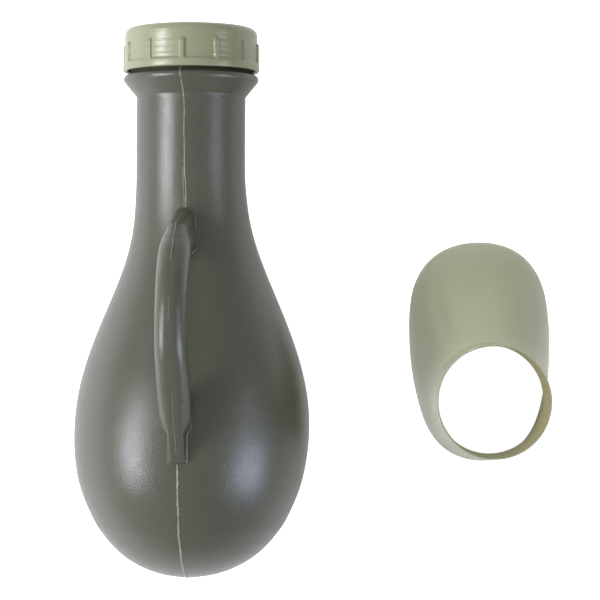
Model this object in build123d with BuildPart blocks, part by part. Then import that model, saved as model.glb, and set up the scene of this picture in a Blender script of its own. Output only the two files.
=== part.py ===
"""Wide-neck urine bottle with a screw cap and a female adapter, lying on its flattened back.

Millimetres, +Z up. The origin is the centre of the flat land that the bottle rests on, +Y runs
along the bottle towards its mouth, and the adapter stands on its wide rim at +X.
"""

import os
from math import cos, radians, sin, sqrt

from build123d import *

os.makedirs("parts", exist_ok=True)

# ---------------------------------------------------------------- bottle shell
AXIS_Z = 50.0  # height of the bottle's axis above the surface it lies on
LAND_AT = 88.0  # distance from the round end to the middle of the flat land
WALL = 1.5  # blown wall
END_WALL = 2.4  # thicker wall where the parison is pinched off at the round end
# The round end: two points of its outer and its inner skin, and the radius and slope at which it
# meets the belly.
ROUND_END = [(4.6, 21.9), (13.2, 35.1)]
ROUND_END_INSIDE = [(6.6, 21.0), (14.6, 34.0)]
ROUND_END_R, ROUND_END_SLOPE = 42.8, 0.72
BELLY_FROM, BELLY_TO = 22.0, 184.0  # the lofted part of the shell
SHOULDER_R, SHOULDER_SLOPE = 27.0, -0.085  # where the belly runs out into the neck
NECK_FROM, NECK_TOP_AT = 197.0, 233.0  # straight stretch of the neck
NECK_R = 26.4
# bead under the cap: its lower edge, crest and upper edge
FLANGE_FROM, FLANGE_AT, FLANGE_TO = 239.4, 241.6, 243.7
FLANGE_FOOT_R, FLANGE_R, FLANGE_LIP_R = 31.5, 32.7, 31.4
FINISH_FROM = 245.0
FINISH_ROOT_R = 29.3  # threaded mouth, at the foot of the thread
MOUTH_R = 27.6  # bore of the mouth
BORE_FOOT_AT = 237.2  # where the bore narrows towards the neck
NECK_INSIDE_TOP_AT = 233.8
MOUTH_AT = 262.7  # rim of the mouth, from the round end
# where the shell is divided into base, belly, neck and mouth
BASE_TO, BELLY_END, MOUTH_FROM = 76.0, 150.0, 236.0
# Sections of the belly: distance from the round end, half-width across X, depth of the back
# below the axis. The back is deeper than the front towards the neck, which makes the land long
# enough to carry the capped bottle.
STATIONS = [
    (BELLY_FROM, ROUND_END_R, ROUND_END_R),
    (30.0, 47.7, 47.7),
    (42.0, 52.8, 53.2),
    (56.0, 56.0, 55.6),
    (73.0, 57.0, 56.0),
    (88.0, 55.7, 56.0),
    (104.0, 52.0, 55.8),
    (120.0, 46.4, 55.0),
    (136.0, 39.8, 52.0),
    (152.0, 33.5, 43.6),
    (164.0, 29.9, 35.2),
    (174.0, 28.0, 29.6),
    (BELLY_TO, SHOULDER_R, SHOULDER_R),
]

# ---------------------------------------------------------------- screw thread
PITCH = 5.0
THREAD_ROOT_W, THREAD_CREST_W = 2.0, 1.0
THREAD_SINK = 0.25  # how far the thread's foot is buried in its wall
NECK_CREST_R = 30.6
NECK_THREAD_AT, NECK_TURNS = 250.0, 1.5
CAP_CREST_R = 29.75
CAP_TURNS = 1.3
THREAD_OFFSET = 1.45  # the cap's thread bears on the lower flank of the neck's
THREAD_START = 35.0  # degrees round the axis at which both threads begin

# ---------------------------------------------------------------- screw cap
CAP_FOOT_AT, CAP_TOP_AT = 245.2, 266.2
CAP_BORE_R = 31.0
CAP_PANEL_R = 32.2  # wall between the grip ribs
CAP_RIB_R = 33.1  # grip ribs and the band at the foot
CAP_BAND, CAP_BAND_SLOPE = 4.1, 0.7
CAP_FOOT_CHAMFER = 0.5
CAP_ROOF = 2.0
CAP_SHOULDER_R = 3.6
RIB_COUNT = 12
RIB_W, RIB_DEPTH = 2.7, 1.5  # the depth includes what is buried in the wall
RIB_FOOT_AT, RIB_TOP_AT = 247.2, 260.0
RIB_PHASE = 95.0  # degrees from +X of one rib
SEAL_T = 1.45
SEAL_R = 30.4

# ---------------------------------------------------------------- grip handle
LEAN = 3.7  # degrees that the grip stands off plumb, towards -X
GRIP_W, GRIP_T, GRIP_CORNER = 15.4, 14.0, 6.4
GRIP_WALL = 1.6
WEB_W = 9.2  # narrow webs that run on from each end of the grip
# corners of the grip's centreline: distance from the round end, distance from the axis
GRIP_ROUTE = [(162.5, 20.0), (162.0, 63.0), (128.5, 90.0), (79.0, 62.0), (76.0, 44.0)]
GRIP_BENDS = [24.0, 35.0, 9.0]
# outlines of the webs, in the same terms; their inner corners lie in the grip and the shell
NECK_WEB = [(160.0, 24.0), (179.0, 24.0), (172.8, 50.0), (170.3, 61.0), (163.9, 68.0), (157.0, 60.0)]
BELLY_WEB = [(84.0, 50.0), (85.0, 72.5), (75.0, 67.6), (59.5, 58.4), (57.6, 50.0)]

# ---------------------------------------------------------------- female adapter
ADAPTER_X, ADAPTER_Y = 144.9, -1.8  # axis of the adapter's plug
ADAPTER_TURN = 1.9  # degrees that the long end of its hood is turned towards the bottle
PLUG_R = 27.3
PLUG_FROM, ADAPTER_TOP = 50.0, 80.0
ADAPTER_WALL = 1.5
HOOD_LIP = 3.0  # upright stretch of the hood's wall above its rim
# half of the hood's rim, from its long end to its short end
RIM = [
    (0.0, 77.6), (22.2, 70.7), (31.4, 58.5), (35.2, 40.0),
    (34.9, 15.7), (30.3, -8.8), (19.4, -26.6), (0.0, -33.2),
]
HOOD_STEPS = 5
HOOD_SWELL = 1.5  # above 1 the hood is domed at its foot
HOOD_EASE = 1.35  # above 1 the hood runs smoothly into the plug

PROFILE = Plane(origin=(0, -LAND_AT, AXIS_Z), x_dir=(0, 1, 0), z_dir=(1, 0, 0))
LEAN_SIN, LEAN_COS = sin(radians(LEAN)), cos(radians(LEAN))
GRIP_PLANE = Plane(
    origin=(0, -LAND_AT, AXIS_Z), x_dir=(0, 1, 0), z_dir=(LEAN_COS, 0, LEAN_SIN)
)
BOTTLE_AXIS = Axis((0, -LAND_AT, AXIS_Z), (0, 1, 0))


def across(station):
    """Plane square to the bottle's axis: local x is +X and local y is +Z."""
    return Plane(
        origin=(0, station - LAND_AT, AXIS_Z), x_dir=(1, 0, 0), z_dir=(0, -1, 0)
    )


def belly_section(half_width, depth):
    """Outline of the belly: half round in front of the axis, half elliptical behind it."""
    ThreePointArc((half_width, 0), (0, half_width), (-half_width, 0))
    EllipticalCenterArc((0, 0), half_width, depth, start_angle=180, arc_size=180)


def hood_plane(level):
    """Level plane on the adapter's axis, turned so that local y runs to the long end."""
    turn = radians(ADAPTER_TURN)
    return Plane(origin=(ADAPTER_X, ADAPTER_Y, level), x_dir=(cos(turn), sin(turn), 0))


def thread_section(path, foot_r, crest_r, centre):
    """Plane and corner points of a trapezoid thread at the start of its helix."""
    start = path @ 0
    radial = (start - Vector(*centre)).normalized()
    plane = Plane(origin=start, x_dir=radial, z_dir=radial.cross(Vector(0, 1, 0)))
    rise = crest_r - foot_r
    half_foot, half_crest = THREAD_ROOT_W / 2, THREAD_CREST_W / 2
    sink = THREAD_SINK if rise > 0 else -THREAD_SINK
    corners = [(-sink, -half_foot), (0, -half_foot), (rise, -half_crest)]
    return plane, corners + [(x, -y) for x, y in reversed(corners)]


# The neck's thread and the cap's thread follow one helix, a constant distance apart.
neck_centre = (0, NECK_THREAD_AT - LAND_AT, AXIS_Z)
with BuildPart() as neck_thread:
    with BuildLine() as neck_helix:
        Helix(PITCH, PITCH * NECK_TURNS, FINISH_ROOT_R, neck_centre, (0, 1, 0))
    plane, corners = thread_section(neck_helix.line, FINISH_ROOT_R, NECK_CREST_R, neck_centre)
    with BuildSketch(plane):
        Polygon(*corners, align=None)
    sweep(path=neck_helix.line, is_frenet=True)

cap_centre = (0, NECK_THREAD_AT - THREAD_OFFSET - LAND_AT, AXIS_Z)
with BuildPart() as cap_thread:
    with BuildLine() as cap_helix:
        Helix(PITCH, PITCH * CAP_TURNS, CAP_BORE_R, cap_centre, (0, 1, 0))
    plane, corners = thread_section(cap_helix.line, CAP_BORE_R, CAP_CREST_R, cap_centre)
    with BuildSketch(plane):
        Polygon(*corners, align=None)
    sweep(path=cap_helix.line, is_frenet=True)

# Outer skin of the bottle: round end, belly with a deeper back, neck, flange and mouth.
with BuildPart() as skin:
    for station, half_width, depth in STATIONS:
        with BuildSketch(across(station)):
            with BuildLine():
                belly_section(half_width, depth)
            make_face()
    loft()
    with BuildSketch(PROFILE):
        with BuildLine():
            Spline(
                (0, 0), *ROUND_END, (BELLY_FROM, ROUND_END_R),
                tangents=[(0, 1), (1, ROUND_END_SLOPE)],
            )
            Polyline((BELLY_FROM, ROUND_END_R), (BELLY_FROM, 0), (0, 0))
        make_face()
    revolve(axis=BOTTLE_AXIS)
    with BuildSketch(PROFILE):
        with BuildLine():
            Spline(
                (BELLY_TO, SHOULDER_R), (NECK_FROM, NECK_R), tangents=[(1, SHOULDER_SLOPE), (1, 0)]
            )
            Polyline((NECK_FROM, NECK_R), (NECK_TOP_AT, NECK_R), (FLANGE_FROM, FLANGE_FOOT_R))
            ThreePointArc(
                (FLANGE_FROM, FLANGE_FOOT_R), (FLANGE_AT, FLANGE_R), (FLANGE_TO, FLANGE_LIP_R)
            )
            Polyline(
                (FLANGE_TO, FLANGE_LIP_R), (FINISH_FROM, FINISH_ROOT_R), (MOUTH_AT, FINISH_ROOT_R),
                (MOUTH_AT, 0), (BELLY_TO, 0), (BELLY_TO, SHOULDER_R),
            )
        make_face()
    revolve(axis=BOTTLE_AXIS)
    with BuildSketch(Plane.XY):
        Rectangle(4 * NECK_R, 4 * LAND_AT)
    extrude(amount=-NECK_R, mode=Mode.SUBTRACT)

# The cavity is the same shape, one wall thickness in, and opens through the mouth.
with BuildPart() as cavity:
    for station, half_width, depth in STATIONS:
        with BuildSketch(across(station)):
            with BuildLine():
                belly_section(half_width - WALL, depth - WALL)
            make_face()
    loft()
    with BuildSketch(PROFILE):
        with BuildLine():
            Spline(
                (END_WALL, 0), *ROUND_END_INSIDE, (BELLY_FROM, ROUND_END_R - WALL),
                tangents=[(0, 1), (1, ROUND_END_SLOPE)],
            )
            Polyline((BELLY_FROM, ROUND_END_R - WALL), (BELLY_FROM, 0), (END_WALL, 0))
        make_face()
    revolve(axis=BOTTLE_AXIS)
    with BuildSketch(PROFILE):
        with BuildLine():
            Spline(
                (BELLY_TO, SHOULDER_R - WALL), (NECK_FROM, NECK_R - WALL),
                tangents=[(1, SHOULDER_SLOPE), (1, 0)],
            )
            Polyline(
                (NECK_FROM, NECK_R - WALL), (NECK_INSIDE_TOP_AT, NECK_R - WALL),
                (BORE_FOOT_AT, MOUTH_R), (MOUTH_AT, MOUTH_R), (MOUTH_AT, 0), (BELLY_TO, 0),
                (BELLY_TO, SHOULDER_R - WALL),
            )
        make_face()
    revolve(axis=BOTTLE_AXIS)
    with BuildSketch(Plane.XY.offset(WALL)):
        Rectangle(4 * NECK_R, 4 * LAND_AT)
    extrude(amount=-NECK_R, mode=Mode.SUBTRACT)

# Hollow of the grip: it runs from the belly to the shoulder and opens into the bottle at both ends.
with BuildPart() as grip_bore:
    with BuildLine(GRIP_PLANE) as grip_route:
        FilletPolyline(*GRIP_ROUTE, radius=GRIP_BENDS)
    with BuildSketch(Plane(origin=grip_route.line @ 0, x_dir=GRIP_PLANE.z_dir, z_dir=grip_route.line % 0)):
        RectangleRounded(GRIP_W - 2 * GRIP_WALL, GRIP_T - 2 * GRIP_WALL, GRIP_CORNER - GRIP_WALL)
    sweep(path=grip_route.line)

with BuildPart() as shell:
    add(skin.part)
    add(neck_thread.part.rotate(BOTTLE_AXIS, THREAD_START))
    add(cavity.part, mode=Mode.SUBTRACT)
    add(grip_bore.part, mode=Mode.SUBTRACT)

# The shell is one moulding, divided across its axis into four plain solids.
with BuildPart() as bottle_base:
    add(shell.part)
    split(bisect_by=across(BASE_TO), keep=Keep.TOP)

with BuildPart() as bottle_belly:
    add(shell.part)
    split(bisect_by=across(BASE_TO), keep=Keep.BOTTOM)
    split(bisect_by=across(BELLY_END), keep=Keep.TOP)

with BuildPart() as bottle_neck:
    add(shell.part)
    split(bisect_by=across(BELLY_END), keep=Keep.BOTTOM)
    split(bisect_by=across(MOUTH_FROM), keep=Keep.TOP)

with BuildPart() as bottle_mouth:
    add(shell.part)
    split(bisect_by=across(MOUTH_FROM), keep=Keep.BOTTOM)

# Grip: a hollow bent tube with a narrow web at each end, trimmed to the bottle's skin.
with BuildPart() as grip_handle:
    with BuildSketch(Plane(origin=grip_route.line @ 0, x_dir=GRIP_PLANE.z_dir, z_dir=grip_route.line % 0)):
        RectangleRounded(GRIP_W, GRIP_T, GRIP_CORNER)
    sweep(path=grip_route.line)
    with BuildSketch(GRIP_PLANE):
        Polygon(*NECK_WEB, align=None)
        Polygon(*BELLY_WEB, align=None)
    extrude(amount=WEB_W / 2, both=True)
    add(grip_bore.part, mode=Mode.SUBTRACT)
    add(skin.part, mode=Mode.SUBTRACT)

with BuildPart() as screw_cap:
    with BuildSketch(PROFILE):
        with BuildLine():
            Polyline(
                (CAP_TOP_AT - CAP_SHOULDER_R, CAP_PANEL_R),
                (CAP_FOOT_AT + CAP_BAND + CAP_BAND_SLOPE, CAP_PANEL_R),
                (CAP_FOOT_AT + CAP_BAND, CAP_RIB_R), (CAP_FOOT_AT + CAP_FOOT_CHAMFER, CAP_RIB_R),
                (CAP_FOOT_AT, CAP_RIB_R - CAP_FOOT_CHAMFER), (CAP_FOOT_AT, CAP_BORE_R),
                (CAP_TOP_AT - CAP_ROOF, CAP_BORE_R), (CAP_TOP_AT - CAP_ROOF, 0),
                (CAP_TOP_AT, 0), (CAP_TOP_AT, CAP_PANEL_R - CAP_SHOULDER_R),
            )
            TangentArc(
                (CAP_TOP_AT, CAP_PANEL_R - CAP_SHOULDER_R),
                (CAP_TOP_AT - CAP_SHOULDER_R, CAP_PANEL_R),
                tangent=(0, 1),
            )
        make_face()
    revolve(axis=BOTTLE_AXIS)
    with BuildSketch(across(RIB_TOP_AT)):
        with PolarLocations(CAP_RIB_R - RIB_DEPTH / 2, RIB_COUNT, start_angle=RIB_PHASE):
            Rectangle(RIB_DEPTH, RIB_W)
    extrude(amount=RIB_TOP_AT - RIB_FOOT_AT)
    add(cap_thread.part.rotate(BOTTLE_AXIS, THREAD_START))

with BuildPart() as cap_seal:
    with BuildSketch(across(MOUTH_AT)):
        Circle(SEAL_R)
    extrude(amount=-SEAL_T)


def hood_outline(spread, inset):
    """Outline of the hood, inset by its wall: spread 0 is the plug's circle and 1 is the rim."""
    half = []
    for x, y in RIM:
        reach = sqrt(x * x + y * y)
        scale = (PLUG_R + (reach - PLUG_R) * spread - inset) / reach
        half.append((x * scale, y * scale))
    Spline(*half, *[(-x, y) for x, y in half[-2:0:-1]], periodic=True)


# Adapter: an egg-shaped lip, a domed hood that draws in to a circle, and a plug on top. The
# outside is built first, and then the inside is taken out of it.
with BuildPart() as adapter:
    for inset, mode in ((0.0, Mode.ADD), (ADAPTER_WALL, Mode.SUBTRACT)):
        for step in range(HOOD_STEPS + 1):
            climb = step / HOOD_STEPS
            with BuildSketch(hood_plane(HOOD_LIP + climb * (PLUG_FROM - HOOD_LIP))):
                with BuildLine():
                    hood_outline((1 - climb**HOOD_SWELL) ** HOOD_EASE, inset)
                make_face()
        loft(mode=mode)
        with BuildSketch(hood_plane(0)):
            with BuildLine():
                hood_outline(1.0, inset)
            make_face()
        extrude(amount=HOOD_LIP, mode=mode)
        with BuildSketch(hood_plane(PLUG_FROM)):
            with BuildLine():
                hood_outline(0.0, inset)
            make_face()
        extrude(amount=ADAPTER_TOP - PLUG_FROM, mode=mode)

bottle_base.part.label = "bottle_base"
bottle_belly.part.label = "bottle_belly"
bottle_neck.part.label = "bottle_neck"
bottle_mouth.part.label = "bottle_mouth"
grip_handle.part.label = "grip_handle"
screw_cap.part.label = "screw_cap"
cap_seal.part.label = "cap_seal"
adapter.part.label = "adapter"
export_step(bottle_base.part, "parts/bottle_base.step")
export_step(bottle_belly.part, "parts/bottle_belly.step")
export_step(bottle_neck.part, "parts/bottle_neck.step")
export_step(bottle_mouth.part, "parts/bottle_mouth.step")
export_step(grip_handle.part, "parts/grip_handle.step")
export_step(screw_cap.part, "parts/screw_cap.step")
export_step(cap_seal.part, "parts/cap_seal.step")
export_step(adapter.part, "parts/adapter.step")
shell_pieces = (bottle_base, bottle_belly, bottle_neck, bottle_mouth)
for piece in shell_pieces + (grip_handle, screw_cap, cap_seal, adapter):
    print(piece.part.label, round(piece.part.volume), piece.part.is_valid, len(piece.part.solids()))
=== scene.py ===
"""Looks of a wide-neck urine bottle with a moulded grip, a screw cap and a loose adapter.

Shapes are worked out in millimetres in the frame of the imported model: the bottle lies along +Y
with its grip up, "station" is the distance from its round end, and the adapter stands at +X.
"""

import bmesh
import bpy
import numpy as np
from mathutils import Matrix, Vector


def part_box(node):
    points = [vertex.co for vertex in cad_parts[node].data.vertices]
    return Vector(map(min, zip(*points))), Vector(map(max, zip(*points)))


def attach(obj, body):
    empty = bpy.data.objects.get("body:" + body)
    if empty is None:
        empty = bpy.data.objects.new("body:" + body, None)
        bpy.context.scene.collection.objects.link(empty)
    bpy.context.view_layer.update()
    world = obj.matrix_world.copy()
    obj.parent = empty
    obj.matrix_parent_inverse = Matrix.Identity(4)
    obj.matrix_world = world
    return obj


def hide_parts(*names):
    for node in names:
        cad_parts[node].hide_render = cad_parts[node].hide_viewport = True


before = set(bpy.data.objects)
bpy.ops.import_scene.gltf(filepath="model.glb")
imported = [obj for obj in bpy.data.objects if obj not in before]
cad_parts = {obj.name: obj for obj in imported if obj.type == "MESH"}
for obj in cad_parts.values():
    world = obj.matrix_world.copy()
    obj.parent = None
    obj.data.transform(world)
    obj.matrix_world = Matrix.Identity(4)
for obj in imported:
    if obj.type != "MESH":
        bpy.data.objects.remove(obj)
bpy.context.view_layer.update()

MM = 0.001
rng = np.random.default_rng(7)


def corners_mm(node):
    """Lowest and highest corner of a node of the frame, in millimetres."""
    low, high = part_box(node)
    return np.array(low) / MM, np.array(high) / MM


base_low = corners_mm("bottle_base")[0]
mouth_high = corners_mm("bottle_mouth")[1]
cap_low, cap_high = corners_mm("screw_cap")
seal_low, seal_high = corners_mm("cap_seal")
adapter_high = corners_mm("adapter")[1]

END_Y = base_low[1]
AXIS_Z = (cap_low[2] + cap_high[2]) / 2
MOUTH_AT = mouth_high[1] - END_Y
CAP_FOOT_AT, CAP_TOP_AT = cap_low[1] - END_Y, cap_high[1] - END_Y
CAP_R = (cap_high[0] - cap_low[0]) / 2

WALL = 1.5
LAND_ROUND = 5.0  # how softly the flat back runs into the round of the belly
PITCH = 5.0
THREAD_PHASE = np.radians(35)
LEAN = np.radians(3.7)  # of the grip, towards -X

# Belly and shoulder: station, half-width in front of and beside the axis, depth of the back.
BELLY = np.array([
    (22.0, 42.8, 42.8), (30.0, 47.7, 47.7), (42.0, 52.8, 53.2), (56.0, 56.0, 55.6), (73.0, 57.0, 56.0),
    (88.0, 55.7, 56.0), (104.0, 52.0, 55.8), (120.0, 46.4, 55.0), (136.0, 39.8, 52.0),
    (152.0, 33.5, 43.6), (164.0, 29.9, 35.2), (174.0, 28.0, 29.6), (184.0, 27.0, 27.0), (197.0, 26.4, 26.4),
])


# ------------------------------------------------------------------ small tools
def cubic(knots, values, first_slope=None, last_slope=None):
    """Cubic spline through the values as a function of the knot axis, with optional end slopes."""
    x, y = np.asarray(knots, float), np.asarray(values, float)
    gap, count = np.diff(x), len(x)
    matrix, right = np.zeros((count, count)), np.zeros(count)
    secant = np.diff(y) / gap
    for i in range(1, count - 1):
        matrix[i, i - 1], matrix[i, i], matrix[i, i + 1] = gap[i], 2 * (gap[i - 1] + gap[i]), gap[i - 1]
        right[i] = 3 * (gap[i] * secant[i - 1] + gap[i - 1] * secant[i])
    for row, near, slope, chord in ((0, 1, first_slope, secant[0]), (-1, -2, last_slope, secant[-1])):
        matrix[row, row] = 1 if slope is not None else 2
        matrix[row, near] = 0 if slope is not None else 1
        right[row] = slope if slope is not None else 3 * chord
    slopes = np.linalg.solve(matrix, right)

    def value(at):
        at = np.asarray(at, float)
        i = np.clip(np.searchsorted(x, at) - 1, 0, count - 2)
        u = (at - x[i]) / gap[i]
        bend = (y[i] * (1 + 2 * u) + gap[i] * slopes[i] * u) * (1 - u) ** 2
        return bend + (y[i + 1] * (3 - 2 * u) - gap[i] * slopes[i + 1] * (1 - u)) * u**2

    return value


def smooth_min(a, b, blend):
    """Smaller of two fields, rounded where they are within blend of each other."""
    near = np.maximum(blend - np.abs(a - b), 0) / blend
    return np.minimum(a, b) - near * near * blend / 4


def smooth_step(low, high, at):
    """Rises smoothly from 0 at low to 1 at high, or falls if high is below low."""
    u = np.clip((np.asarray(at, float) - low) / (high - low), 0, 1)
    return u * u * (3 - 2 * u)


def mesh_object(name, points, faces, material, body, replaced=()):
    """A smooth-shaded mesh from points in millimetres, riding on a body of the frame."""
    mesh = bpy.data.meshes.new(name)
    mesh.from_pydata((np.asarray(points) * MM).tolist(), [], faces)
    outward = bmesh.new()
    outward.from_mesh(mesh)
    bmesh.ops.recalc_face_normals(outward, faces=outward.faces)
    outward.to_mesh(mesh)
    outward.free()
    mesh.polygons.foreach_set("use_smooth", [True] * len(mesh.polygons))
    mesh.materials.append(material)
    piece = bpy.data.objects.new(name, mesh)
    bpy.context.scene.collection.objects.link(piece)
    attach(piece, body)
    if replaced:
        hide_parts(*replaced)
    return piece


def grid_faces(rows, columns, loop=False):
    """Quads over rows of points, each row closed, and joined from last to first on a loop."""
    faces = []
    for row in range(rows if loop else rows - 1):
        here, above = row * columns, (row + 1) % rows * columns
        for column in range(columns):
            beside = (column + 1) % columns
            faces.append((here + column, here + beside, above + beside, above + column))
    return faces


def capped_faces(rows, columns, first_pole, last_pole):
    """Quads over closed rows, with a fan from a single point at either end."""
    faces = grid_faces(rows, columns)
    last = (rows - 1) * columns
    for column in range(columns):
        beside = (column + 1) % columns
        faces.append((first_pole, beside, column))
        faces.append((last_pole, last + column, last + beside))
    return faces


def arc(centre, radius, start, end, steps):
    """Points of an arc in a profile, angles in degrees from the first axis."""
    angle = np.radians(np.linspace(start, end, steps))
    return [(centre[0] + radius * np.cos(a), centre[1] + radius * np.sin(a)) for a in angle]


# ------------------------------------------------------------------ materials
NOISE_MIDDLE = 0.3, 0.7  # range that most of a noise's values fall in
ROUND_THE_AXIS = (0.15, 20, 0.15)  # stretch that draws noise out into rings round +Y


class Nodes:
    """Short-hand for building a material's node tree."""

    def __init__(self, name):
        self.material = bpy.data.materials.new(name)
        self.material.use_nodes = True
        self.tree = self.material.node_tree
        self.shader = self.tree.nodes["Principled BSDF"]
        self.place = self.tree.nodes.new("ShaderNodeTexCoord").outputs["Object"]

    def link(self, source, target):
        self.tree.links.new(source, target)

    def noise(self, scale, detail, stretch=None):
        """Noise of the given scale per metre, optionally with the scale multiplied along each axis."""
        node = self.tree.nodes.new("ShaderNodeTexNoise")
        node.inputs["Scale"].default_value = scale
        node.inputs["Detail"].default_value = detail
        place = self.place
        if stretch:
            mapping = self.tree.nodes.new("ShaderNodeMapping")
            mapping.inputs["Scale"].default_value = stretch
            self.link(place, mapping.inputs["Vector"])
            place = mapping.outputs["Vector"]
        self.link(place, node.inputs["Vector"])
        return node.outputs["Fac"]

    def spread(self, value, low, high):
        """Maps the middle of a noise's range onto low to high."""
        node = self.tree.nodes.new("ShaderNodeMapRange")
        node.inputs["From Min"].default_value, node.inputs["From Max"].default_value = NOISE_MIDDLE
        node.inputs["To Min"].default_value, node.inputs["To Max"].default_value = low, high
        self.link(value, node.inputs["Value"])
        return node.outputs["Result"]

    def mix(self, factor, first, second):
        """Colour between two linear colours."""
        node = self.tree.nodes.new("ShaderNodeMix")
        node.data_type = "RGBA"
        self.link(factor, node.inputs["Factor"])
        for index, colour in ((6, first), (7, second)):
            node.inputs[index].default_value = (*colour, 1)
        return node.outputs[2]

    def bump(self, height, depth, strength=1.0, under=None):
        """Bump of a real depth in metres, laid over another bump."""
        node = self.tree.nodes.new("ShaderNodeBump")
        node.inputs["Strength"].default_value = strength
        node.inputs["Distance"].default_value = depth
        self.link(height, node.inputs["Height"])
        if under is not None:
            self.link(under, node.inputs["Normal"])
        return node.outputs["Normal"]


def srgb(red, green, blue):
    """Linear colour from 0 to 255 screen values."""
    screen = np.array((red, green, blue)) / 255
    linear = np.where(screen <= 0.04045, screen / 12.92, ((screen + 0.055) / 1.055) ** 2.4)
    return tuple(float(v) for v in linear)


def blown_plastic():
    """Olive-grey polyethylene with a fine matt grain."""
    nodes = Nodes("olive_polyethylene")
    tone = nodes.spread(nodes.noise(22, 2), 0, 1)
    colour = nodes.mix(tone, srgb(73, 77, 62), srgb(78, 82, 67))
    nodes.link(colour, nodes.shader.inputs["Base Color"])
    nodes.link(nodes.spread(nodes.noise(260, 4), 0.28, 0.34), nodes.shader.inputs["Roughness"])
    nodes.shader.inputs["Specular IOR Level"].default_value = 0.65
    ripple = nodes.bump(nodes.noise(90, 2), 0.00012, 0.35)
    grain = nodes.bump(nodes.noise(1500, 2), 0.0002, 0.6, ripple)
    nodes.link(grain, nodes.shader.inputs["Normal"])
    return nodes.material


def flash_plastic(name, first, second):
    """The same polyethylene where the mould's halves meet, paler and without the grain."""
    nodes = Nodes(name)
    tone = nodes.spread(nodes.noise(600, 3), 0, 1)
    nodes.link(nodes.mix(tone, first, second), nodes.shader.inputs["Base Color"])
    nodes.link(nodes.spread(nodes.noise(900, 2), 0.3, 0.45), nodes.shader.inputs["Roughness"])
    return nodes.material


def moulded_plastic(name, first, second, low, high, rings=0.0):
    """Glossy sage-green polypropylene: roughness from low to high, rings with a depth in metres."""
    nodes = Nodes(name)
    tone = nodes.spread(nodes.noise(30, 3, (1, 0.35, 1)), 0, 1)
    nodes.link(nodes.mix(tone, first, second), nodes.shader.inputs["Base Color"])
    nodes.link(nodes.spread(nodes.noise(40, 2), low, high), nodes.shader.inputs["Roughness"])
    turned = nodes.bump(nodes.noise(30, 2, ROUND_THE_AXIS), rings) if rings else None
    nodes.link(nodes.bump(nodes.noise(700, 2), 0.00002, 0.3, turned), nodes.shader.inputs["Normal"])
    return nodes.material


def foam():
    """White closed-cell foam of the sealing disc."""
    nodes = Nodes("white_foam")
    nodes.link(nodes.mix(nodes.noise(900, 2), srgb(214, 214, 206), srgb(232, 232, 226)),
               nodes.shader.inputs["Base Color"])
    nodes.shader.inputs["Roughness"].default_value = 0.7
    nodes.link(nodes.bump(nodes.noise(2200, 2), 0.0001, 0.6), nodes.shader.inputs["Normal"])
    return nodes.material


bottle_plastic = blown_plastic()
# the shell's flash is far paler than the body: partly stress whitening of the ridge, partly a painted
# highlight along it
shell_flash_whitening_and_highlight = flash_plastic("shell_flash_whitening_and_highlight", srgb(124, 128, 112), srgb(164, 166, 150))
grip_flash = flash_plastic("grip_flash", srgb(92, 96, 80), srgb(116, 119, 102))
cap_plastic = moulded_plastic("sage_cap", srgb(147, 152, 122), srgb(149, 154, 124), 0.27, 0.31, 0.00025)
adapter_plastic = moulded_plastic("sage_adapter", srgb(150, 153, 126), srgb(156, 159, 132), 0.2, 0.25)
# the adapter's inside: the same plastic with a yellower tint painted in for light bounced about within the
# hood
adapter_inside_painted_bounce = moulded_plastic("sage_adapter_inside", srgb(148, 144, 86), srgb(154, 150, 92), 0.3, 0.4)
seal_foam = foam()

# ------------------------------------------------------------------ bottle shell
BELLY_SLOPE, ROUND_END_SLOPE = 0.84, 0.72
half_width = cubic(BELLY[:, 0], BELLY[:, 1], BELLY_SLOPE, 0.0)
back_depth = cubic(BELLY[:, 0], BELLY[:, 2], BELLY_SLOPE, 0.0)
# sideways drift of the moulding along its stations, which cooled slightly bowed
drift = cubic([0, 16, 50, 75, 95, 127, 150, 185, 240],
              [-1.0, -0.6, -0.2, 0.5, 0.9, 1.4, 1.3, 0.0, 0.0], 0.02, 0)

BELLY_FROM, NECK_FROM = BELLY[0, 0], BELLY[-1, 0]
NECK_R = BELLY[-1, 1]
ROUND_END = [(4.6, 21.9), (13.2, 35.1), (BELLY_FROM, BELLY[0, 1])]
FLANGE_AT, FLANGE_MIDDLE_R, FLANGE_ROUND = 241.4, 30.5, 2.2
FINISH_R, MOUTH_R = 29.3, 27.6
NECK_TOP_AT = 233.0
NECK_CORNER, RIM_ROUND = 1.4, 0.6
THREAD_AT, THREAD_TURNS, THREAD_RISE = 250.0, 1.5, 1.3
THREAD_HALF, THREAD_FLANK, THREAD_FADE = 1.0, 0.5, 0.04  # the fade is a share of a turn
ROW_GAP = 1.5


def round_end(steps, inset=0.0):
    """Profile of the closed end, from next to its pole to the belly: stations and radii."""
    stations = np.array([0.0] + [p[0] for p in ROUND_END])
    radii = np.array([0.0] + [p[1] for p in ROUND_END])
    along = np.concatenate(([0], np.cumsum(np.hypot(np.diff(stations), np.diff(radii)))))
    slope = np.hypot(1, ROUND_END_SLOPE)
    station_of = cubic(along, stations, 0.0, 1 / slope)
    radius_of = cubic(along, radii, 1.0, ROUND_END_SLOPE / slope)
    at = np.linspace(0, along[-1], steps + 1)[1:]
    shrink = 1 - inset / radii[-1]
    return station_of(at) * shrink + inset * (1 - at / along[-1]), radius_of(at) * shrink


def thread_rise(station, angle, start, turns, height):
    """Height of a trapezoid thread at points of a wall, with its ends run out."""
    turn = (angle / (2 * np.pi)) % 1
    rise = np.zeros(np.broadcast(station, angle).shape)
    for whole in range(-1, int(turns) + 2):
        along = turn + whole
        centre = start + PITCH * along
        flank = np.clip((THREAD_HALF - np.abs(station - centre)) / THREAD_FLANK, 0, 1)
        ends = smooth_step(0, THREAD_FADE, along) * smooth_step(0, THREAD_FADE, turns - along)
        rise = np.maximum(rise, flank * ends)
    return rise * height


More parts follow.
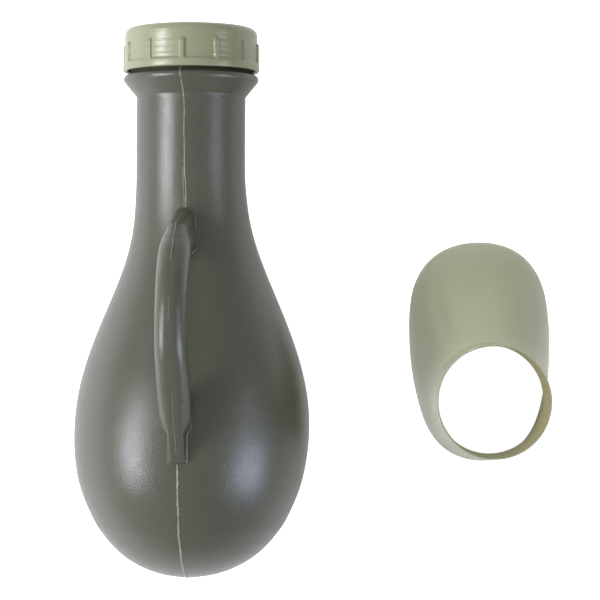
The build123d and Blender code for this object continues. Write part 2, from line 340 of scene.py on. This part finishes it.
def shell_rows(inset):
    """Belly and neck of the shell as rows of (station, half-width, depth of the back)."""
    end_at, end_r = round_end(26, inset)
    rows = [(at, r, r) for at, r in zip(end_at, end_r)]
    for at in np.arange(BELLY_FROM + ROW_GAP, NECK_FROM, ROW_GAP):
        rows.append((at, half_width(at) - inset, back_depth(at) - inset))
    rows += [(at, NECK_R - inset, NECK_R - inset) for at in np.linspace(NECK_FROM, NECK_TOP_AT - 1, 14)]
    return rows


def mouth_rows():
    """From the neck over the flange, the threaded wall and the rim, and down the bore."""
    profile = arc((NECK_TOP_AT - 0.6, NECK_R + NECK_CORNER), NECK_CORNER, -90, -50, 4)
    profile += arc((FLANGE_AT, FLANGE_MIDDLE_R), FLANGE_ROUND, 128, 38, 9)
    profile += [(244.0, FINISH_R + 0.9), (244.7, FINISH_R + 0.2), (245.4, FINISH_R)]
    profile += [(at, FINISH_R) for at in np.linspace(246.0, MOUTH_AT - 1.0, 46)]
    profile += arc((MOUTH_AT - RIM_ROUND, FINISH_R - RIM_ROUND), RIM_ROUND, 90, 0, 5)
    profile += arc((MOUTH_AT - RIM_ROUND, MOUTH_R + RIM_ROUND), RIM_ROUND, 0, -90, 5)
    profile += [(at, MOUTH_R) for at in (257.0, 251.0, 245.0, 238.6, 237.2)]
    profile += [(235.5, MOUTH_R - 1.4), (NECK_TOP_AT + 0.8, NECK_R - WALL)]
    return [(at, r, r) for at, r in profile]


def on_shell(station, across, depth, angle, inset):
    """Points of the shell: angle is measured from the front towards +X."""
    beside, ahead = np.sin(angle), np.cos(angle)
    height = np.where(ahead > 0, across, depth) * ahead
    height = -smooth_min(-height, AXIS_Z - inset, LAND_ROUND)
    x = drift(station) + across * beside
    return np.stack(np.broadcast_arrays(x, END_Y + station, AXIS_Z + height), -1)


SHELL_COLUMNS = 192


def build_shell():
    """The blown shell: skin, threaded mouth and cavity as one closed mesh."""
    outside = shell_rows(0.0) + mouth_rows()
    inside = shell_rows(WALL)[::-1]
    angle = np.arange(SHELL_COLUMNS) / SHELL_COLUMNS * 2 * np.pi
    rows = np.array(outside + inside)[:, :, None]
    inset = np.where(np.arange(len(rows)) < len(outside), 0.0, WALL)[:, None]
    station, across, depth = rows[:, 0], rows[:, 1], rows[:, 2]
    threaded = (across >= FINISH_R - 0.01) & (station > 245.9) & (station < MOUTH_AT)
    rise = thread_rise(station, (angle - THREAD_PHASE)[None, :], THREAD_AT, THREAD_TURNS, THREAD_RISE)
    across = across + np.where(threaded, rise, 0)
    points = on_shell(station, across, np.where(threaded, across, depth), angle[None, :], inset)
    points = list(points.reshape(-1, 3))
    first, last = len(points), len(points) + 1
    points.append((drift(0), END_Y, AXIS_Z))
    points.append((drift(0), END_Y + WALL, AXIS_Z))
    faces = capped_faces(len(rows), SHELL_COLUMNS, first, last)
    nodes = ["bottle_base", "bottle_belly", "bottle_neck", "bottle_mouth"]
    mesh_object("bottle_shell", points, faces, bottle_plastic, "bottle", nodes)


build_shell()


# ------------------------------------------------------------------ parting line
RIDGE_SINK = 0.15  # depth of a ridge's edges and ends under the skin


def wobble(along, lengths, size):
    """Smooth irregular wander with the given wave lengths."""
    total = np.zeros_like(along)
    for length in lengths:
        total += np.sin(along / length * 2 * np.pi + rng.uniform(0, 2 * np.pi)) / len(lengths)
    return total * size


def ridge(name, path, across, normal, half, height, material):
    """A low closed rib along a path on the bottle, sunk into it where its height runs out."""
    section = ((-1.0, 0.0), (-0.42, 0.8), (0.0, 1.0), (0.42, 0.8), (1.0, 0.0), (0.0, -1.0))
    points = []
    for place, side, up, wide, high in zip(path, across, normal, half, height):
        for offset, level in section:
            lift = level * (high + RIDGE_SINK) - RIDGE_SINK if level >= 0 else -2.5 * RIDGE_SINK
            points.append(place + side * offset * wide + up * lift)
    count, columns = len(path), len(section)
    first, last = len(points), len(points) + 1
    points += [path[0] - normal[0] * RIDGE_SINK, path[-1] - normal[-1] * RIDGE_SINK]
    faces = capped_faces(count, columns, first, last)
    mesh_object(name, points, faces, material, "bottle")


def shell_ridge(name, start, end, half, height, back=False, shift=0.0):
    """Parting line along the shell between two distances along its profile from the closed end."""
    rows = np.array([(0.0, 0.0, 0.0)] + shell_rows(0.0) + mouth_rows()[:20])
    steps = np.hypot(np.diff(rows[:, 0]), np.diff(rows[:, 1]))
    length = np.concatenate(([0], np.cumsum(steps)))
    along = np.arange(start, min(end, length[-1]), 0.6)
    station, across, depth = (np.interp(along, length, rows[:, i]) for i in range(3))
    angle = np.pi - front_angle(station) if back else front_angle(station)
    wander = wobble(along, (47.0, 19.0), 0.18) + wobble(along, (6.5, 3.1), 0.07) + shift
    angle = angle + wander / np.maximum(across, 6.0)
    path = on_shell(station, across, depth, angle, 0.0)
    beside = on_shell(station, across, depth, angle + 0.02, 0.0) - path
    beside /= np.linalg.norm(beside, axis=1)[:, None]
    forward = np.gradient(path, axis=0)
    normal = np.cross(forward, beside)
    normal /= np.linalg.norm(normal, axis=1)[:, None]
    middle = np.stack((drift(station), END_Y + np.clip(station, 30, 240), np.full_like(station, AXIS_Z)), -1)
    normal *= np.sign(np.sum(normal * (path - middle), axis=1))[:, None]
    edge = smooth_step(0, 4, along - along[0]) * smooth_step(0, 4, along[-1] - along)
    high = (height + wobble(along, (9.0, 4.3), 0.3 * height)) * edge - 0.05 * (1 - edge)
    wide = half + wobble(along, (13.0, 5.2), 0.25 * half)
    ridge(name, path, beside, normal, wide, high, shell_flash_whitening_and_highlight)


# where the parting line runs along the front: station, and angle that is negative towards -X
front_angle = cubic([0, 16, 37, 60, 120, 172, 183, 212, 235, 247],
                    np.radians([-3.7, -3.7, -3.6, -3.7, -3.7, -3.0, -2.6, -4.1, -5.2, -7.6]))
shell_ridge("flash_front_belly", 3.0, 94.0, 0.6, 0.45)
shell_ridge("flash_front_neck", 200.0, 290.0, 0.36, 0.24)
shell_ridge("flash_front_double", 206.0, 236.0, 0.26, 0.14, shift=-0.9)
shell_ridge("flash_back_end", 3.0, 44.0, 0.4, 0.2, back=True)
shell_ridge("flash_back_neck", 178.0, 290.0, 0.36, 0.2, back=True)


# ------------------------------------------------------------------ grip
GRIP_ROUTE = [(162.5, 20.0), (162.0, 63.0), (128.5, 90.0), (79.0, 62.0), (76.0, 44.0)]
GRIP_BENDS = [24.0, 35.0, 9.0]
GRIP_HALF_T, GRIP_CORNER = 6.8, 6.2
grip_half_w = cubic([60, 76, 84, 92, 110, 128, 145, 158, 168, 180],
                    [6.6, 7.0, 7.5, 7.7, 7.4, 7.0, 7.1, 7.2, 6.6, 6.6])
# plates at the ends of the grip: outline, half-thickness and edge rounding
NECK_WEB = [(160.0, 24.0), (178.6, 24.0), (172.6, 50.0), (170.0, 60.5), (163.9, 67.6), (157.0, 60.0)]
BELLY_WEB = [(84.0, 50.0), (85.0, 72.0), (75.0, 67.4), (59.5, 58.3), (57.8, 50.0)]
NECK_WEB_HALF, NECK_WEB_ROUND = 4.6, 3.6
BELLY_WEB_HALF, BELLY_WEB_ROUND = 3.8, 1.5
ROOT_BLEND, WEB_BLEND = 1.4, 2.2
ROOT_NARROWING = 0.9
SKIRT_REACH, SKIRT_DEPTH, SKIRT_SINK = 4.5, 1.2, 0.25
GRIP_MIDDLE = 118.0, 30.0  # station and height that the grip arches over
# grid that the grip is sampled on, and the spacing and longest move used to draw its mesh onto its skin
GRIP_STEP, GRIP_NUDGE, GRIP_MOVE = 0.6, 0.02, 0.4
GRIP_LOW, GRIP_HIGH = np.array((-13.0, 50.0, 20.0)), np.array((13.0, 186.0, 98.0))


def rounded_route(corners, bends):
    """Points along straight runs joined by tangent arcs."""
    corners = [np.array(c) for c in corners]
    points = [corners[0]]
    for before, corner, after, radius in zip(corners, corners[1:], corners[2:], bends):
        inward, outward = before - corner, after - corner
        inward, outward = inward / np.linalg.norm(inward), outward / np.linalg.norm(outward)
        half = np.arccos(np.clip(inward @ outward, -1, 1)) / 2
        bisector = (inward + outward) / np.linalg.norm(inward + outward)
        centre = corner + bisector * radius / np.sin(half)
        reach = radius / np.tan(half)
        first, last = corner + inward * reach - centre, corner + outward * reach - centre
        sweep = np.pi - 2 * half
        for u in np.linspace(0, 1, max(3, int(radius * sweep))):
            arm = (np.sin((1 - u) * sweep) * first + np.sin(u * sweep) * last) / np.sin(sweep)
            points.append(centre + arm)
    return np.array(points + [corners[-1]])


grip_route = rounded_route(GRIP_ROUTE, GRIP_BENDS)


def distance_to_route(place, height):
    """Distance of points of the grip's plane from its centreline."""
    start, run = grip_route[:-1], np.diff(grip_route, axis=0)
    best = np.full(place.shape, np.inf)
    for (x, y), (dx, dy) in zip(start, run):
        u = np.clip(((place - x) * dx + (height - y) * dy) / (dx * dx + dy * dy), 0, 1)
        best = np.minimum(best, np.hypot(place - x - u * dx, height - y - u * dy))
    return best


def rounded_box(a, b, half_a, half_b, corner):
    """Distance outside a rounded rectangle."""
    a, b = np.abs(a) - half_a + corner, np.abs(b) - half_b + corner
    return np.minimum(np.maximum(a, b), 0) + np.hypot(np.maximum(a, 0), np.maximum(b, 0)) - corner


def web(across, station, height, outline, half, corner):
    """Distance outside a plate of the outline's shape, standing in the grip's plane."""
    outline = np.array(outline)
    middle = outline.mean(axis=0)
    level = np.full(np.broadcast(station, height).shape, -np.inf)
    for (x, y), (to_x, to_y) in zip(outline, np.roll(outline, -1, axis=0)):
        out = np.array((to_y - y, x - to_x)) / np.hypot(to_x - x, to_y - y)
        out *= np.sign(out @ (np.array((x, y)) - middle))
        level = np.maximum(level, (station - x) * out[0] + (height - y) * out[1])
    side = np.abs(across) - half + corner
    level = level + corner
    outside = np.hypot(np.maximum(level, 0), np.maximum(side, 0))
    return np.minimum(np.maximum(level, side), 0) + outside - corner


def shell_distance(across, station, height):
    """Distance in front of the shell's skin from a point given in the grip's leaning frame."""
    x = across * np.cos(LEAN) - height * np.sin(LEAN) - drift(station)
    z = across * np.sin(LEAN) + height * np.cos(LEAN)
    slope = half_width(station + 0.5) - half_width(station - 0.5)
    return (np.hypot(x, z) - half_width(station)) / np.hypot(1, slope)


def grip_field(across, station, height):
    """Negative inside the grip, its webs and the fillets that spread onto the shell."""
    reach = distance_to_route(station, height)
    half = grip_half_w(station) - ROOT_NARROWING * smooth_step(66, 56, height)
    tube = rounded_box(across, reach, half, GRIP_HALF_T, GRIP_CORNER)
    neck_web = web(across, station, height, NECK_WEB, NECK_WEB_HALF, NECK_WEB_ROUND)
    belly_web = web(across, station, height, BELLY_WEB, BELLY_WEB_HALF, BELLY_WEB_ROUND)
    webs = np.minimum(neck_web, belly_web)
    skin = shell_distance(across, station, height)
    body = smooth_min(smooth_min(tube, skin + SKIRT_SINK, ROOT_BLEND), webs, WEB_BLEND)
    near = np.minimum(tube, webs) - SKIRT_REACH
    return np.maximum(np.maximum(body, near), -skin - SKIRT_DEPTH)


def surface_net(field, low, step):
    """Closed quad mesh of the zero level of a field sampled on a grid."""
    shape = np.array(field.shape) - 1
    corner_of = [(i, j, k) for i in (0, 1) for j in (0, 1) for k in (0, 1)]

    def shifted(corner):
        return field[tuple(slice(c, c + n) for c, n in zip(corner, shape))]

    inside = sum((shifted(c) < 0).astype(np.int8) for c in corner_of)
    mixed = (inside > 0) & (inside < 8)
    cells = np.argwhere(mixed)
    index = np.full(mixed.shape, -1)
    index[mixed] = np.arange(len(cells))
    total, crossings = np.zeros((len(cells), 3)), np.zeros(len(cells))
    for axis in range(3):
        for corner in (c for c in corner_of if c[axis] == 0):
            other = tuple(1 if i == axis else v for i, v in enumerate(corner))
            a, b = shifted(corner)[mixed], shifted(other)[mixed]
            cut = (a < 0) != (b < 0)
            share = np.where(cut, a / np.where(cut, a - b, 1), 0)
            place = np.array(corner, float) + np.outer(share, np.eye(3)[axis])
            total += place * cut[:, None]
            crossings += cut
    points = (cells + total / crossings[:, None]) * step + low
    faces = []
    for axis in range(3):
        u, v = (axis + 1) % 3, (axis + 2) % 3
        ahead = np.roll(field, -1, axis)
        cut = (field < 0) != (ahead < 0)
        keep = [slice(1, -1)] * 3
        keep[axis] = slice(0, -1)
        for cell in np.argwhere(cut[tuple(keep)]) + [0 if i == axis else 1 for i in range(3)]:
            ring = []
            for du, dv in ((0, 0), (1, 0), (1, 1), (0, 1)):
                near = cell.copy()
                near[u] -= du
                near[v] -= dv
                ring.append(int(index[tuple(near)]))
            faces.append(tuple(ring if field[tuple(cell)] < 0 else ring[::-1]))
    return points, faces


def build_grip():
    """The grip's field as a mesh, drawn onto the field's zero level in three steps."""
    axes = [np.arange(a, b, GRIP_STEP) for a, b in zip(GRIP_LOW, GRIP_HIGH)]
    across, station, height = np.meshgrid(*axes, indexing="ij", sparse=True)
    points, faces = surface_net(grip_field(across, station, height), GRIP_LOW, GRIP_STEP)
    for _ in range(3):
        value = grip_field(*points.T)
        beside = [grip_field(*(points + GRIP_NUDGE * axis).T) for axis in np.eye(3)]
        slope = np.stack([(near - value) / GRIP_NUDGE for near in beside], -1)
        size = np.maximum(np.sum(slope * slope, axis=1), 0.25)
        points -= np.clip(value / size, -GRIP_MOVE, GRIP_MOVE)[:, None] * slope
    points = from_grip_frame(points)
    mesh_object("grip", points, faces, bottle_plastic, "bottle", ["grip_handle"])


def from_grip_frame(points):
    """Points given as (across, station, height) in the grip's leaning plane, in the frame's axes."""
    across, station, height = points.T
    x = across * np.cos(LEAN) - height * np.sin(LEAN)
    z = across * np.sin(LEAN) + height * np.cos(LEAN)
    return np.stack((x, END_Y + station, AXIS_Z + z), -1)


build_grip()


def build_grip_flash():
    """Parting line over the outer side of the grip, standing proud in three stretches."""
    centre = np.array(GRIP_MIDDLE)
    angle = np.radians(np.linspace(0.0, 152.0, 420))
    ray = np.stack((np.cos(angle), np.sin(angle)), -1)
    reach = np.full(len(angle), 75.0)
    for _ in range(60):
        spot = centre + ray * reach[:, None]
        reach -= 0.7 * np.clip(grip_field(np.zeros(len(angle)), spot[:, 0], spot[:, 1]), -3, 3)
    spot = centre + ray * reach[:, None]
    along = np.concatenate(([0], np.cumsum(np.hypot(*np.diff(spot, axis=0).T))))
    wander = wobble(along, (31.0, 11.0), 0.2) + wobble(along, (5.0, 2.7), 0.03)
    path = from_grip_frame(np.stack((wander, spot[:, 0], spot[:, 1]), -1))
    across = np.tile(np.array((np.cos(LEAN), 0, np.sin(LEAN))), (len(path), 1))
    normal = np.cross(across, np.gradient(path, axis=0))
    normal /= np.linalg.norm(normal, axis=1)[:, None]
    outward = from_grip_frame(np.stack((wander, *(spot + ray).T), -1)) - path
    normal *= np.sign(np.sum(normal * outward, axis=1))[:, None]
    station = spot[:, 0]
    proud = smooth_step(150, 155, station) * smooth_step(0, 4, along)
    proud += 0.5 * smooth_step(122, 127, station) * smooth_step(139, 134, station)
    proud += 0.8 * smooth_step(95, 88, station) * smooth_step(0, 3, along[-1] - along)
    high = 0.22 * proud * (1 + wobble(along, (7.0, 3.4), 0.3)) - 0.06 * (1 - np.clip(proud, 0, 1))
    high = high * (1 + smooth_step(148, 156, station))
    wide = 0.34 + 0.14 * smooth_step(148, 156, station) + wobble(along, (9.0, 4.1), 0.06)
    ridge("flash_grip", path, across, normal, wide, high, grip_flash)


build_grip_flash()


# ------------------------------------------------------------------ screw cap
RIB_COUNT, RIB_PHASE = 12, np.radians(-5.3)
RIB_TOP_AT, BAND_TOP_AT = 258.9, 249.2
PANEL_R, BORE_R, THREAD_CREST = 32.15, 31.0, 1.2
CAP_THREAD_AT, CAP_THREAD_TURNS = THREAD_AT - 1.45, 1.3
SHOULDER_R, ROOF, DISH = 3.6, 2.0, 0.25
RIB_HALF, RIB_FLANK = 1.5, 0.35


def cap_rows():
    """Profile of the cap from near the middle of its top, over the outside, to the inside."""
    top, foot = CAP_TOP_AT, CAP_FOOT_AT
    rows = [(top - DISH, 4.0), (top - DISH, 14.0), (top - DISH, 23.0), (top - 0.22, 24.2), (top, 25.0)]
    rows += [(top, 26.5)] + arc((top - SHOULDER_R, PANEL_R - SHOULDER_R), SHOULDER_R, 0, 90, 12)
    rows += [(at, PANEL_R) for at in (261.0, 259.8, RIB_TOP_AT + 0.5, RIB_TOP_AT - 0.1, RIB_TOP_AT - 0.7)]
    rows += [(at, PANEL_R) for at in (256.5, 254.0, 251.5, 250.2, BAND_TOP_AT + 0.35)]
    rows += [(BAND_TOP_AT + 0.05, PANEL_R + 0.2), (BAND_TOP_AT - 0.15, CAP_R - 0.25)]
    rows += [(BAND_TOP_AT - 0.5, CAP_R - 0.04)]
    rows += [(247.6, CAP_R), (foot + 0.9, CAP_R), (foot + 0.35, CAP_R - 0.1), (foot + 0.05, CAP_R - 0.4)]
    rows += [(foot, CAP_R - 0.9), (foot, BORE_R + 0.6), (foot + 0.4, BORE_R)]
    rows += [(at, BORE_R) for at in np.arange(foot + 0.8, top - ROOF - 0.6, 0.4)]
    rows += [(top - ROOF - 0.2, BORE_R - 0.1), (top - ROOF, BORE_R - 0.6)]
    rows += [(top - ROOF, 20.0), (top - ROOF, 6.0)]
    return np.array(rows)


def rib_columns():
    """Angles round the cap, crowded at the edges of its ribs."""
    edges = np.array((-1.7, -1.5, -1.3, -1.1, -0.6, 0.0, 0.6, 1.1, 1.3, 1.5, 1.7, 2.8, 5.0, 8.5, 12.0, 14.2))
    angles = [RIB_PHASE + rib * 2 * np.pi / RIB_COUNT + edges / CAP_R for rib in range(RIB_COUNT)]
    return np.concatenate(angles)


def build_cap():
    """The cap's turned profile with ribs raised on its panel and a thread in its bore."""
    rows, angle = cap_rows(), rib_columns()
    station, radius = rows[:, 0][:, None], rows[:, 1][:, None]
    pitch = 2 * np.pi / RIB_COUNT
    beside = np.abs((angle - RIB_PHASE + pitch / 2) % pitch - pitch / 2) * CAP_R
    rib = np.clip((RIB_HALF - beside) / RIB_FLANK, 0, 1) * (CAP_R - 0.05 - PANEL_R)
    on_rib = smooth_step(RIB_TOP_AT + 0.5, RIB_TOP_AT - 0.7, station) * (np.abs(radius - PANEL_R) < 0.3)
    on_rib = on_rib * (station > BAND_TOP_AT)
    on_bore = (np.abs(radius - BORE_R) < 0.01) & (station < CAP_TOP_AT - ROOF - 0.5)
    turned = (angle - THREAD_PHASE)[None, :]
    thread = thread_rise(station, turned, CAP_THREAD_AT, CAP_THREAD_TURNS, THREAD_CREST)
    radius = np.maximum(radius, (PANEL_R + rib) * on_rib) - thread * on_bore
    x, z = radius * np.sin(angle), radius * np.cos(angle)
    station = np.broadcast_to(station, x.shape)
    points = list(np.stack((x, END_Y + station, AXIS_Z + z), -1).reshape(-1, 3))
    first, last = len(points), len(points) + 1
    points.append((0, END_Y + CAP_TOP_AT - DISH, AXIS_Z))
    points.append((0, END_Y + CAP_TOP_AT - ROOF, AXIS_Z))
    faces = capped_faces(len(rows), len(angle), first, last)
    mesh_object("screw_cap_moulding", points, faces, cap_plastic, "cap", ["screw_cap"])


build_cap()


def build_seal():
    """Foam disc with rounded edges, and the ring that the mouth's rim has pressed into it."""
    near, far = seal_low[1], seal_high[1]
    edge = (seal_high[0] - seal_low[0]) / 2
    rows = [(near, 8.0), (near, 22.0), (near, MOUTH_R - 1.6), (near + 0.12, MOUTH_R - 0.8)]
    rows += [(near + 0.12, FINISH_R + 0.3), (near, FINISH_R + 0.7), (near, edge - 0.3), (near + 0.3, edge)]
    rows += [(far - 0.3, edge), (far, edge - 0.3), (far, 20.0), (far, 8.0)]
    angle = np.arange(96) / 96 * 2 * np.pi
    points = [(r * np.sin(a), y, AXIS_Z + r * np.cos(a)) for y, r in rows for a in angle]
    first, last = len(points), len(points) + 1
    points += [(0, near, AXIS_Z), (0, far, AXIS_Z)]
    faces = capped_faces(len(rows), len(angle), first, last)
    mesh_object("sealing_disc", points, faces, seal_foam, "seal", ["cap_seal"])


build_seal()

# ------------------------------------------------------------------ adapter
ADAPTER_X, ADAPTER_Y = 144.9, -1.8
ADAPTER_TURN = np.radians(1.9)
PLUG_R, PLUG_FROM = 27.3, 50.0
ADAPTER_TOP = adapter_high[2]
ADAPTER_WALL = 1.0
INSIDE_FROM = 0.69  # inset beyond which a face belongs to the inside, which is given a painted yellow tint of light bounced within the hood
HOOD_LIP = 3.0
HOOD_SWELL, HOOD_EASE = 1.5, 1.35  # above 1: domed at its foot, and smooth into the plug
RIM_CROWDING = 0.3  # how closely the columns stand together at the rim's long end
# half of the rim, from its long end to its short end
RIM = np.array([
    (0.0, 77.6), (22.2, 70.7), (31.4, 58.5), (35.2, 40.0), (34.9, 15.7), (30.3, -8.8), (19.4, -26.6),
    (0.0, -33.2),
])
rim_reach = cubic(np.arctan2(RIM[:, 0], RIM[:, 1]), np.hypot(RIM[:, 0], RIM[:, 1]), 0.0, 0.0)


def adapter_rows():
    """Rows up the outside and down the inside: level, spread towards the rim, and inset."""
    rows = [(0.0, 1.0, 0.55), (0.12, 1.0, 0.2), (0.5, 1.0, 0.0), (1.7, 1.0, 0.0)]
    climbs = np.linspace(0, 1, 36)
    levels = HOOD_LIP + climbs * (PLUG_FROM - HOOD_LIP)
    hood = list(zip(levels, (1 - climbs**HOOD_SWELL) ** HOOD_EASE))
    rows += [(level, spread, 0.0) for level, spread in hood]
    rows += [(level, 0.0, 0.0) for level in (52.0, 56.0, 62.0, 70.0, ADAPTER_TOP - 1.0, ADAPTER_TOP - 0.4)]
    rows += [(ADAPTER_TOP - 0.1, 0.0, 0.1), (ADAPTER_TOP, 0.0, 0.3), (ADAPTER_TOP, 0.0, 0.5)]
    rows += [(ADAPTER_TOP - 0.12, 0.0, 0.66), (ADAPTER_TOP - 0.5, 0.0, 0.72)]
    rows += [(level, 0.0, ADAPTER_WALL) for level in (ADAPTER_TOP - 4.0, 70.0, 62.0, 56.0, 52.0)]
    rows += [(level, spread, ADAPTER_WALL) for level, spread in hood[::-1]]
    rows += [(1.7, 1.0, ADAPTER_WALL), (0.4, 1.0, ADAPTER_WALL - 0.05), (0.0, 1.0, ADAPTER_WALL - 0.35)]
    return rows


def build_adapter():
    """Plug and hood as one closed skin, with a yellower inside that is painted bounce light."""
    around = np.arange(220) / 220 * 2 * np.pi
    angle = around - RIM_CROWDING * np.sin(around)
    reach = rim_reach(np.abs((angle + np.pi) % (2 * np.pi) - np.pi))
    rows = adapter_rows()
    points = []
    for level, spread, inset in rows:
        radius = PLUG_R + (reach - PLUG_R) * spread - inset
        x, y = radius * np.sin(angle), radius * np.cos(angle)
        turned_x = x * np.cos(ADAPTER_TURN) - y * np.sin(ADAPTER_TURN)
        turned_y = x * np.sin(ADAPTER_TURN) + y * np.cos(ADAPTER_TURN)
        points += list(zip(ADAPTER_X + turned_x, ADAPTER_Y + turned_y, np.full_like(x, level)))
    faces = grid_faces(len(rows), len(angle), loop=True)
    piece = mesh_object("adapter_moulding", points, faces, adapter_plastic, "adapter", ["adapter"])
    # faces of the inside take the painted yellow bounce tint
    piece.data.materials.append(adapter_inside_painted_bounce)
    for face in piece.data.polygons:
        face.material_index = int(rows[face.index // len(angle)][2] > INSIDE_FROM)


build_adapter()


# ------------------------------------------------------------------ floor, light and camera
FLOOR_HALF, FLOOR_SHADE, FLOOR_GLOW, BOUNCE_GLOW = 3.0, 0.9, 0.95, 0.3
WORLD_LIGHT = 0.54
CAMERA_X, CAMERA_Y, CAMERA_ABOVE, CAMERA_LENS = 0.0529, 0.0465, 1.067, 131.64
NECK_LEFT_PLACE, BELLY_MIDDLE = (-0.68, 0.19, 0.65), (0.0, -0.02, 0.05)
NECK_COLOUR = (0.92, 0.90, 1.0)


def floor_sheet(name, level, glow):
    """A large matt sheet, nearly white, with a glow that keeps its shadows pale."""
    signs = ((-1, -1), (1, -1), (1, 1), (-1, 1))
    corners = [(x * FLOOR_HALF, y * FLOOR_HALF, level) for x, y in signs]
    mesh = bpy.data.meshes.new(name)
    mesh.from_pydata(corners, [], [(0, 1, 2, 3)])
    nodes = Nodes(name)
    tone = nodes.spread(nodes.noise(3, 2), 0, 1)
    shades = [(FLOOR_SHADE + lift,) * 3 for lift in (0.0, 0.02)]
    nodes.link(nodes.mix(tone, *shades), nodes.shader.inputs["Base Color"])
    nodes.shader.inputs["Emission Color"].default_value = (1, 1, 1, 1)
    nodes.shader.inputs["Emission Strength"].default_value = glow
    nodes.shader.inputs["Roughness"].default_value = 0.9
    nodes.shader.inputs["Specular IOR Level"].default_value = 0.1
    mesh.materials.append(nodes.material)
    sheet = bpy.data.objects.new(name, mesh)
    sheet.visible_shadow = False
    bpy.context.scene.collection.objects.link(sheet)
    return sheet


def build_floor():
    """A white floor that only the camera sees, over a dimmer one that only the light meets."""
    floor = floor_sheet("white_floor", 0.0, FLOOR_GLOW)
    floor.visible_diffuse = False
    floor.visible_glossy = False
    floor.visible_transmission = False
    card = floor_sheet("bounce_card", -0.001, BOUNCE_GLOW)
    card.visible_camera = False


def soft_box(name, place, target, width, height, power, colour, beam=180):
    """A rectangular light aimed at a target; its width is level and its beam is in degrees."""
    light = bpy.data.lights.new(name, "AREA")
    light.spread = np.radians(beam)
    light.shape = "RECTANGLE"
    light.size, light.size_y = width, height
    light.energy = power
    light.color = colour
    lamp = bpy.data.objects.new(name, light)
    lamp.location = place
    aim = np.array(target) - np.array(place)
    lamp.rotation_mode = "QUATERNION"
    lamp.rotation_quaternion = Vector(aim).to_track_quat("-Z", "Y")
    bpy.context.scene.collection.objects.link(lamp)
    return lamp


def build_camera():
    """Camera looking straight down, with the picture's up along the bottle."""
    data = bpy.data.cameras.new("camera")
    data.sensor_width = 36.0
    data.lens = CAMERA_LENS
    camera = bpy.data.objects.new("camera", data)
    camera.location = (CAMERA_X, CAMERA_Y, AXIS_Z * MM + CAMERA_ABOVE)
    bpy.context.scene.collection.objects.link(camera)
    bpy.context.scene.camera = camera


build_floor()
# soft boxes: place, target, width, height, power, colour and beam
soft_box("belly_left", (-0.75, -0.19, 0.57), BELLY_MIDDLE, 0.40, 0.17, 5.2, (0.90, 0.87, 1.0))
neck_left = soft_box("neck_left", NECK_LEFT_PLACE, (0.0, 0.137, 0.05), 0.23, 0.22, 0.096, NECK_COLOUR, 20)
neck_fill = soft_box("neck_fill", NECK_LEFT_PLACE, (0.0, 0.10, 0.05), 0.22, 0.20, 3.6, NECK_COLOUR)
neck_right = soft_box("neck_right", (0.79, 0.17, 0.53), (0.0, 0.13, 0.05), 0.22, 0.40, 0.038,
                      (0.80, 0.84, 1.0), 22)
belly_right = soft_box("belly_right", (0.82, -0.36, 0.48), BELLY_MIDDLE, 0.38, 0.50, 5.0, (0.70, 0.75, 1.0))
soft_box("adapter_box", (-0.06, 0.60, 0.70), (0.15, 0.02, 0.03), 0.1, 0.1, 0.019, (1.0, 1.0, 1.0), 12)
# one box fills without a highlight, and three make a highlight only
neck_fill.visible_glossy = False
for box in (neck_left, neck_right, belly_right):
    box.visible_diffuse = False

world = bpy.data.worlds.new("studio")
world.use_nodes = True
world.node_tree.nodes["Background"].inputs["Color"].default_value = (1.0, 1.0, 1.0, 1)
world.node_tree.nodes["Background"].inputs["Strength"].default_value = WORLD_LIGHT
bpy.context.scene.world = world
bpy.context.scene.view_settings.view_transform = "Standard"
build_camera()
